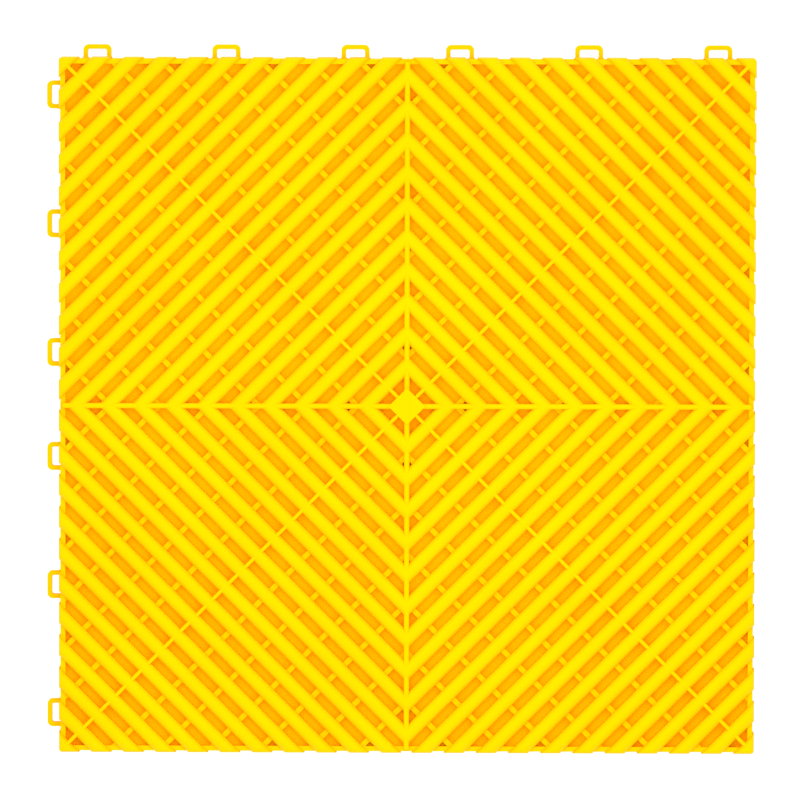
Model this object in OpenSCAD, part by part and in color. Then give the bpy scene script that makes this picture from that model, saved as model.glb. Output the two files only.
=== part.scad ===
// Interlocking floor tile: hollow, round-topped ribs that run in diamonds around
// a flat hub, with a sunk floor between them, moulded in one piece of polypropylene.
// The origin is at the centre of the square body, on the floor. The loops
// point along -X and +Y, and the pegs that drop into them are on the other two sides.

/* [Body] */
// Length of each side of the square, over the ends of the ribs
tile_w = 400; // [240:1:500]
// Height over the crests of the ribs
tile_h = 18; // [15:0.5:24]
// Radius that rounds the upper end of each rib
end_r = 2.5; // [1:0.1:3.5]
// Radius of the four corners, seen from above
corner_r = 2; // [1:0.1:4]

/* [Ribs] */
// Width of a rib
rib_w = 8; // [6.5:0.1:9]
// Open width between two ribs
rib_gap = 5.1; // [4.5:0.1:9]
// Radius of a rib's rounded top, a little over half its width
crown_r = 4.15; // [4.1:0.05:4.6]
// Wall of a rib, which is open below
rib_wall = 1.6; // [1.3:0.1:2.2]
// Half the width of the flat hub in the centre, across its sides
hub_half = 7.5; // [6.5:0.1:9]
// Wall and roof of the hub
hub_wall = 2; // [1.5:0.1:3]
// Diameter of the foot under the middle of the hub
hub_foot_d = 5; // [4:0.1:7]

/* [Floor and webs] */
// Floor between the ribs, below their crests
floor_drop = 8.3; // [7:0.1:10.5]
// Thickness of that floor
floor_t = 1.6; // [1.2:0.1:2]
// Thickness of the webs that stand on the floor and tie the ribs together
web_t = 3; // [2:0.1:3.5]
// Distance from one web to the next, along a rib
web_step = 20.1; // [16:0.1:26]
// Top of the webs, below the crests of the ribs
web_drop = 4.4; // [4:0.1:6]
// Thickness of the bars along the tile's two centre lines
bar_t = 3; // [2:0.1:4]
// Thickness of the fins on the tile's two diagonals
fin_t = 2.1; // [1.5:0.1:3]
// Round tops of those bars and fins, below the crests of the ribs
fin_drop = 0.4; // [0.3:0.1:2]

/* [Rim] */
// Thickness of the rim
rim_t = 2.9; // [2:0.1:3.5]
// Height of the rim
rim_h = 14; // [12:0.1:15]
// How far the rim stands back from the ends of the ribs
rim_inset = 0.8; // [0.4:0.1:1.5]

/* [Loops and pegs] */
// Distance from the middle of a side to the first loop on each half of it
loop_first = 30; // [20:0.1:35]
// Rib ends from one loop to the next
loop_ribs = 4; // [3:1:5]
// Length of a loop along the side
loop_len = 16; // [14:0.1:18]
// Reach of a loop beyond the rim
loop_out = 7.9; // [7:0.1:10]
// Thickness of a loop's bar, which lies along the side
loop_bar = 2.6; // [2:0.1:3]
// Thickness of a loop's legs
loop_leg = 2.5; // [1.6:0.1:2.8]
// Height of a loop
loop_h = 5; // [4:0.1:6]
// Radius of a loop's outer corners
loop_r = 3; // [2:0.1:4]
// Radius of the corners of its hole
loop_hole_r = 1.3; // [0.8:0.1:2]
// Radius of the fillets where its legs meet the rim
loop_foot_r = 1.2; // [0.6:0.1:1.8]
// Room around a peg in its loop, and around a loop under the next tile
loop_clear = 0.4; // [0.2:0.05:0.8]

/* [Hidden] */
$fn = 48;
plastic = "gold";
// Extra length of a cut past the face that it opens
past = 1;
// Heights of the floor's top, of its middle and of the tops of the webs, and of the bars and fins
floor_top = tile_h - floor_drop;
floor_mid = floor_top - floor_t / 2;
web_top = tile_h - web_drop;
fin_top = tile_h - fin_drop;
// From the centre out to the rib ends, the rim's outer and inner faces, and the ends of the webs
half = tile_w / 2;
rim_out = half - rim_inset;
rim_in = rim_out - rim_t;
web_reach = rim_in + rim_t / 2;
// Where the floor and the centre bars start, in the hub's corner on a centre line
hub_corner = (hub_half - hub_wall / 2) * sqrt(2);
// From the centre out to a corner, and from one rib to the next, along a diagonal
diagonal = half * sqrt(2);
rib_step = rib_w + rib_gap;
first_rib = hub_half + rib_gap + rib_w / 2;
rib_count = floor((diagonal - hub_half) / rib_step);
web_count = floor(diagonal / 2 / web_step);
// The loops' places along a side, as distances from its middle
loop_step = loop_ribs * rib_step * sqrt(2);
loops_in_half = 1 + floor((half - corner_r - loop_first - loop_len / 2) / loop_step);
loop_places = [for (side = [-1, 1], i = [0 : loops_in_half - 1]) side * (loop_first + i * loop_step)];
// Room that a neighbour's loop takes up, measured from that tile's rib ends
loop_reach = loop_out - rim_inset;
loop_room_h = loop_h + loop_clear;

// Upright outline of a rib or of the hollow in it, with a round top
module rib_outline(w, top, r) {
    intersection() {
        translate([-w / 2, 0]) square([w, top + past]);
        union() {
            translate([0, top - r]) circle(r);
            translate([-2 * r, 0]) square([4 * r, top - r]);
        }
    }
}

// A bar of that outline on each rib line of one quarter, where x runs along the diagonal
module rib_bars(w, top, r, from_z) {
    for (i = [0 : rib_count - 1]) {
        out = first_rib + i * rib_step;
        // A rib spans the quarter between the centre lines, or between the sides further out
        span = 2 * (min(out, diagonal - out) + rib_w);
        translate([out, 0, from_z]) rotate([90, 0, 0])
            linear_extrude(height = span, center = true) rib_outline(w, top - from_z, r);
    }
}

// Side view of the tile's edge, from the centre line out to the rounded rib end
module edge_outline() {
    union() {
        translate([0, -past]) square([half, tile_h - end_r + past]);
        translate([0, -past]) square([half - end_r, tile_h + 2 * past]);
        translate([half - end_r, tile_h - end_r]) circle(end_r);
    }
}

// Space that the ribs of one quarter fill
module quarter_space() {
    intersection() {
        translate([0, half, 0]) rotate([90, 0, 0]) linear_extrude(height = half) edge_outline();
        rotate([90, 0, 90]) linear_extrude(height = half) edge_outline();
        translate([0, 0, -past]) linear_extrude(height = tile_h + 3 * past) union() {
            square([half - corner_r, half]);
            square([half, half - corner_r]);
            translate([half - corner_r, half - corner_r]) circle(corner_r);
        }
    }
}

// Ribs of one quarter, still solid
module ribs() {
    intersection() {
        rotate(45) rib_bars(rib_w, tile_h, crown_r, 0);
        quarter_space();
    }
}

// The hollows under those ribs, which stop at the rim
module rib_hollows() {
    intersection() {
        rotate(45) rib_bars(rib_w - 2 * rib_wall, tile_h - rib_wall, crown_r - rib_wall, -past);
        translate([0, 0, -2 * past]) cube([rim_in, rim_in, tile_h + 2 * past]);
    }
}

// Webs of one quarter, square to its ribs, and the thin fin along its diagonal
module webs() {
    intersection() {
        rotate(45) union() {
            for (side = [-1, 1], j = [1 : web_count]) {
                away = j * web_step;
                translate([away - web_t, side * away - web_t / 2, floor_mid])
                    cube([diagonal - 2 * away + 2 * web_t, web_t, web_top - floor_mid]);
            }
            translate([hub_half - hub_wall / 2, 0, 0]) fin(fin_t, diagonal);
        }
        cube([web_reach, web_reach, tile_h]);
    }
}

// Upright wall with a round top that stands on the floor and runs along +X
module fin(thick, long) {
    translate([0, 0, floor_mid]) rotate([90, 0, 90])
        linear_extrude(height = long) rib_outline(thick, fin_top - floor_mid, 0.55 * thick);
}

// Flat-topped hub, hollow below, with a foot in its middle
module hub() {
    inner = hub_half - hub_wall;
    rotate(45) difference() {
        translate([-hub_half, -hub_half, 0]) cube([2 * hub_half, 2 * hub_half, tile_h]);
        translate([-inner, -inner, -past]) cube([2 * inner, 2 * inner, tile_h - hub_wall + past]);
    }
    cylinder(d = hub_foot_d, h = tile_h - hub_wall / 2);
}

// This quarter's halves of the bars along the two centre lines
module half_bars() {
    intersection() {
        for (turn = [0, 90]) rotate(turn) translate([hub_corner, 0, 0]) fin(bar_t, web_reach - hub_corner);
        cube([half, half, tile_h]);
    }
}

// Floor of one quarter, from the hub to the rim
module quarter_floor() {
    translate([0, 0, floor_top - floor_t]) linear_extrude(height = floor_t) polygon([
        [hub_corner, 0], [web_reach, 0], [web_reach, web_reach],
        [0, web_reach], [0, hub_corner]
    ]);
}

// Low wall along the outside of one quarter, behind the rib ends
module rim() {
    linear_extrude(height = rim_h) difference() {
        square(rim_out);
        square(rim_in);
    }
}

// One quarter of the tile, with its ribs hollow from below
module quarter() {
    difference() {
        union() {
            ribs();
            quarter_floor();
            webs();
            half_bars();
            rim();
        }
        rib_hollows();
    }
}

// One loop on the +Y side, at x = 0
module loop() {
    y0 = rim_out - rim_t / 2;
    y1 = rim_out + loop_out;
    linear_extrude(height = loop_h) difference() {
        union() {
            translate([-loop_len / 2, y0]) square([loop_len, y1 - loop_r - y0]);
            translate([-loop_len / 2 + loop_r, y0]) square([loop_len - 2 * loop_r, y1 - y0]);
            for (side = [-1, 1]) translate([side * (loop_len / 2 - loop_r), y1 - loop_r]) circle(loop_r);
            translate([-loop_len / 2, y0]) loop_foot();
            translate([loop_len / 2, y0]) mirror([1, 0]) loop_foot();
        }
        translate([0, rim_out]) round_box(loop_len - 2 * loop_leg, loop_out - loop_bar, loop_hole_r);
    }
}

// Fillet in the corner between the rim and the left side of a loop
module loop_foot() {
    deep = rim_t / 2 + loop_foot_r;
    difference() {
        translate([-loop_foot_r, 0]) square([loop_foot_r + loop_leg / 2, deep]);
        translate([-loop_foot_r, deep]) circle(loop_foot_r);
    }
}

// Rectangle with rounded corners that stands on y = 0, centred on x = 0
module round_box(w, h, r) {
    union() {
        translate([-w / 2, r]) square([w, h - 2 * r]);
        translate([-w / 2 + r, 0]) square([w - 2 * r, h]);
        for (x = [r - w / 2, w / 2 - r], y = [r, h - r]) translate([x, y]) circle(r);
    }
}

// Loops along the top and left sides
module loops() {
    for (turn = [0, 90]) rotate(turn)
        for (x = loop_places) translate([x, 0, 0]) loop();
}

// Room under the -Y side for one loop of the next tile
module loop_room() {
    depth = loop_reach + loop_clear;
    translate([-loop_len / 2 - loop_clear, -half - past, -past])
        cube([loop_len + 2 * loop_clear, depth + past, loop_room_h + past]);
}

// Peg under the -Y side that fills the hole of that loop
module peg() {
    w = loop_len - 2 * loop_leg - 2 * loop_clear;
    depth = loop_reach - loop_bar - loop_clear - rim_inset;
    translate([0, -rim_out, 0]) linear_extrude(height = floor_mid)
        round_box(w, depth, loop_hole_r - loop_clear);
}

// The shape under the right and bottom sides, once for each loop of the next tile
module under_sides() {
    for (turn = [0, 90]) rotate(turn)
        for (x = loop_places) translate([x, 0, 0]) children();
}

// The whole tile, moulded in one piece
module tile() {
    color(plastic) union() {
        difference() {
            union() {
                for (turn = [0 : 90 : 270]) rotate(turn) quarter();
                hub();
                loops();
            }
            under_sides() loop_room();
        }
        under_sides() peg();
    }
}

tile();
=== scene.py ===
"""Studio view of a yellow interlocking floor tile, seen from above on a white floor."""
import math

import bpy
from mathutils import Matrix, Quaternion, Vector


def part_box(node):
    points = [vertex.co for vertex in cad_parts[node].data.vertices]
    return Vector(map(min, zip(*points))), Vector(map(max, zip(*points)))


MM = 0.001
CAMERA_FRAME = 36.0        # width of the camera's frame in mm, which its lens is stated for
LENS = 390.6
ROLL = math.radians(-0.13)  # the tile lies a little clockwise in the photograph
PAPER_GAP = 0.2 * MM       # keeps the paper clear of the tile's lower edges

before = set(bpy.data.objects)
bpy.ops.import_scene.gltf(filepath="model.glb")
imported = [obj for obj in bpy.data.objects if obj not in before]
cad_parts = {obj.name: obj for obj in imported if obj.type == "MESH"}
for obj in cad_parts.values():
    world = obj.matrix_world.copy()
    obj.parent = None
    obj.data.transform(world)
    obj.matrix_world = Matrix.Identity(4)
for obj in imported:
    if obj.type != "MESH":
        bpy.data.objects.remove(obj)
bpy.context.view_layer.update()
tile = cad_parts["tile"]
tile_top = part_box("tile")[1].z


class Wire:
    """A socket in a shader. Plus, minus and times on it add Math nodes."""

    def __init__(self, shader, socket):
        self.shader, self.socket = shader, socket

    def math(self, operation, *values):
        return self.shader.node("ShaderNodeMath", {"operation": operation}, dict(enumerate(values)))

    def __add__(self, other):
        return self.math("ADD", self, other)

    def __sub__(self, other):
        return self.math("SUBTRACT", self, other)

    def __rsub__(self, other):
        return self.math("SUBTRACT", other, self)

    def __mul__(self, other):
        return self.math("MULTIPLY", self, other)

    __radd__, __rmul__ = __add__, __mul__

    def clipped(self, low, high):
        """0 where the value is low, 1 where it is high, and smooth between."""
        settings = {"interpolation_type": "SMOOTHSTEP"}
        return self.shader.node("ShaderNodeMapRange", settings, {0: self, 1: low, 2: high})


class Shader:
    """The node tree of one material, and the methods that add its nodes."""

    def __init__(self, name):
        self.material = bpy.data.materials.new(name)
        self.material.use_nodes = True
        self.tree = self.material.node_tree
        self.tree.nodes.clear()

    def node(self, kind, settings=None, sockets=None, output=0):
        """A node of that kind. Its settings come first, then the values or wires of its sockets."""
        made = self.tree.nodes.new(kind)
        for key, value in (settings or {}).items():
            setattr(made, key, value)
        for key, value in (sockets or {}).items():
            if isinstance(value, Wire):
                self.tree.links.new(value.socket, made.inputs[key])
            else:
                made.inputs[key].default_value = value
        return Wire(self, made.outputs[output])

    def place(self):
        return self.node("ShaderNodeTexCoord", output="Object")

    def noise(self, place, size, detail=2.0, roughness=0.5):
        """Soft noise about 0.5, whose lumps are about that size in metres."""
        sockets = {"Vector": place, "Scale": 1 / size, "Detail": detail, "Roughness": roughness}
        return self.node("ShaderNodeTexNoise", {}, sockets)

    def mixed(self, share, first, second):
        """The first colour where share is 0 and the second where it is 1."""
        sockets = {"Factor": share, 6: first, 7: second}
        return self.node("ShaderNodeMix", {"data_type": "RGBA"}, sockets, output=2)

    def surface(self, **sockets):
        """Ends the tree in a Principled surface. Underscores stand for spaces in the names."""
        named = {key.replace("_", " "): value for key, value in sockets.items()}
        body = self.node("ShaderNodeBsdfPrincipled", {}, named)
        out = self.tree.nodes.new("ShaderNodeOutputMaterial")
        self.tree.links.new(body.socket, out.inputs["Surface"])
        return self.material


def moulded_polypropylene():
    """Yellow polypropylene as it leaves the mould: satin, with a fine grain and faint flow marks."""
    s = Shader("moulded_polypropylene")
    place = s.place()
    flow = s.noise(place, 60 * MM, detail=3.0)
    grain = s.noise(place, 0.5 * MM, detail=3.0, roughness=0.6)
    height = s.node("ShaderNodeSeparateXYZ", {}, {0: place}, output="Z")
    crest = height.clipped(tile_top - 2.5 * MM, tile_top)
    colour = s.mixed(flow.clipped(0.35, 0.65), (0.97, 0.480, 0.0, 1), (0.99, 0.500, 0.0, 1))
    roughness = 0.52 + 0.08 * (grain - 0.5) - 0.06 * crest
    bump = s.node("ShaderNodeBump", {}, {"Strength": 0.25, "Distance": 0.04 * MM, "Height": grain})
    sheen = {"Specular_IOR_Level": 0.1, "Specular_Tint": (1.0, 0.85, 0.0, 1)}
    return s.surface(Base_Color=colour, Roughness=roughness, Normal=bump, **sheen)


def studio_paper():
    """White sheet under the tile that glows evenly, as on a light table."""
    s = Shader("studio_paper")
    mottle = s.noise(s.place(), 40 * MM)
    colour = s.mixed(mottle, (0.2, 0.2, 0.2, 1), (0.22, 0.22, 0.22, 1))
    glow = {"Emission_Color": (1, 1, 1, 1), "Emission_Strength": 0.95}
    return s.surface(Base_Color=colour, Roughness=0.95, Specular_IOR_Level=0.1, **glow)


def add_floor():
    """A wide sheet of paper, just below the tile."""
    bpy.ops.object.select_all(action="DESELECT")
    bpy.ops.mesh.primitive_plane_add(size=8.0, location=(0, 0, -PAPER_GAP))
    floor = bpy.context.active_object
    floor.name = "paper_floor"
    floor.data.materials.append(studio_paper())


def add_camera():
    """Far above the tile and a little north of its centre, as the photograph was taken."""
    place = Vector((52.6 * MM, 330.7 * MM, 4.988))
    aim = Vector((-3.94 * MM, 3.77 * MM, tile_top))
    data = bpy.data.cameras.new("camera")
    data.lens = LENS
    data.sensor_width = CAMERA_FRAME
    data.clip_end = 50.0
    camera = bpy.data.objects.new("camera", data)
    bpy.context.scene.collection.objects.link(camera)
    straight_down = Vector((0, 0, -1))
    turn = straight_down.rotation_difference(aim - place) @ Quaternion(straight_down, ROLL)
    camera.location = place
    camera.rotation_mode = "QUATERNION"
    camera.rotation_quaternion = turn
    bpy.context.scene.camera = camera


def add_soft_light(name, bearing, height_angle, distance, size, power):
    """A square softbox that faces the tile. Bearing 0 is north, and 90 is east."""
    b, h = math.radians(bearing), math.radians(height_angle)
    place = Vector((math.sin(b) * math.cos(h), math.cos(b) * math.cos(h), math.sin(h))) * distance
    data = bpy.data.lights.new(name, "AREA")
    data.shape = "SQUARE"
    data.size = size
    data.energy = power
    light = bpy.data.objects.new(name, data)
    light.visible_camera = False
    bpy.context.scene.collection.objects.link(light)
    light.location = place
    light.rotation_mode = "QUATERNION"
    light.rotation_quaternion = (-place).to_track_quat("-Z", "Y")


def add_lights():
    """A broad softbox from the north and a small one close above the tile."""
    add_soft_light("north_softbox", 5, 55, 1.5, 1.8, 6.2)
    add_soft_light("top_softbox", 0, 90, 0.6, 0.4, 0.95)


def set_world():
    """An even white sky, which gives most of the light."""
    world = bpy.data.worlds.new("studio")
    world.use_nodes = True
    background = world.node_tree.nodes["Background"]
    background.inputs["Color"].default_value = (1, 1, 1, 1)
    background.inputs["Strength"].default_value = 1.33
    bpy.context.scene.world = world


tile.data.materials.clear()
tile.data.materials.append(moulded_polypropylene())
add_floor()
add_camera()
add_lights()
set_world()

# Clear plastic colours have to stay clear, so the picture is shown as the light measured it
bpy.context.scene.view_settings.view_transform = "Standard"
bpy.context.scene.view_settings.look = "None"
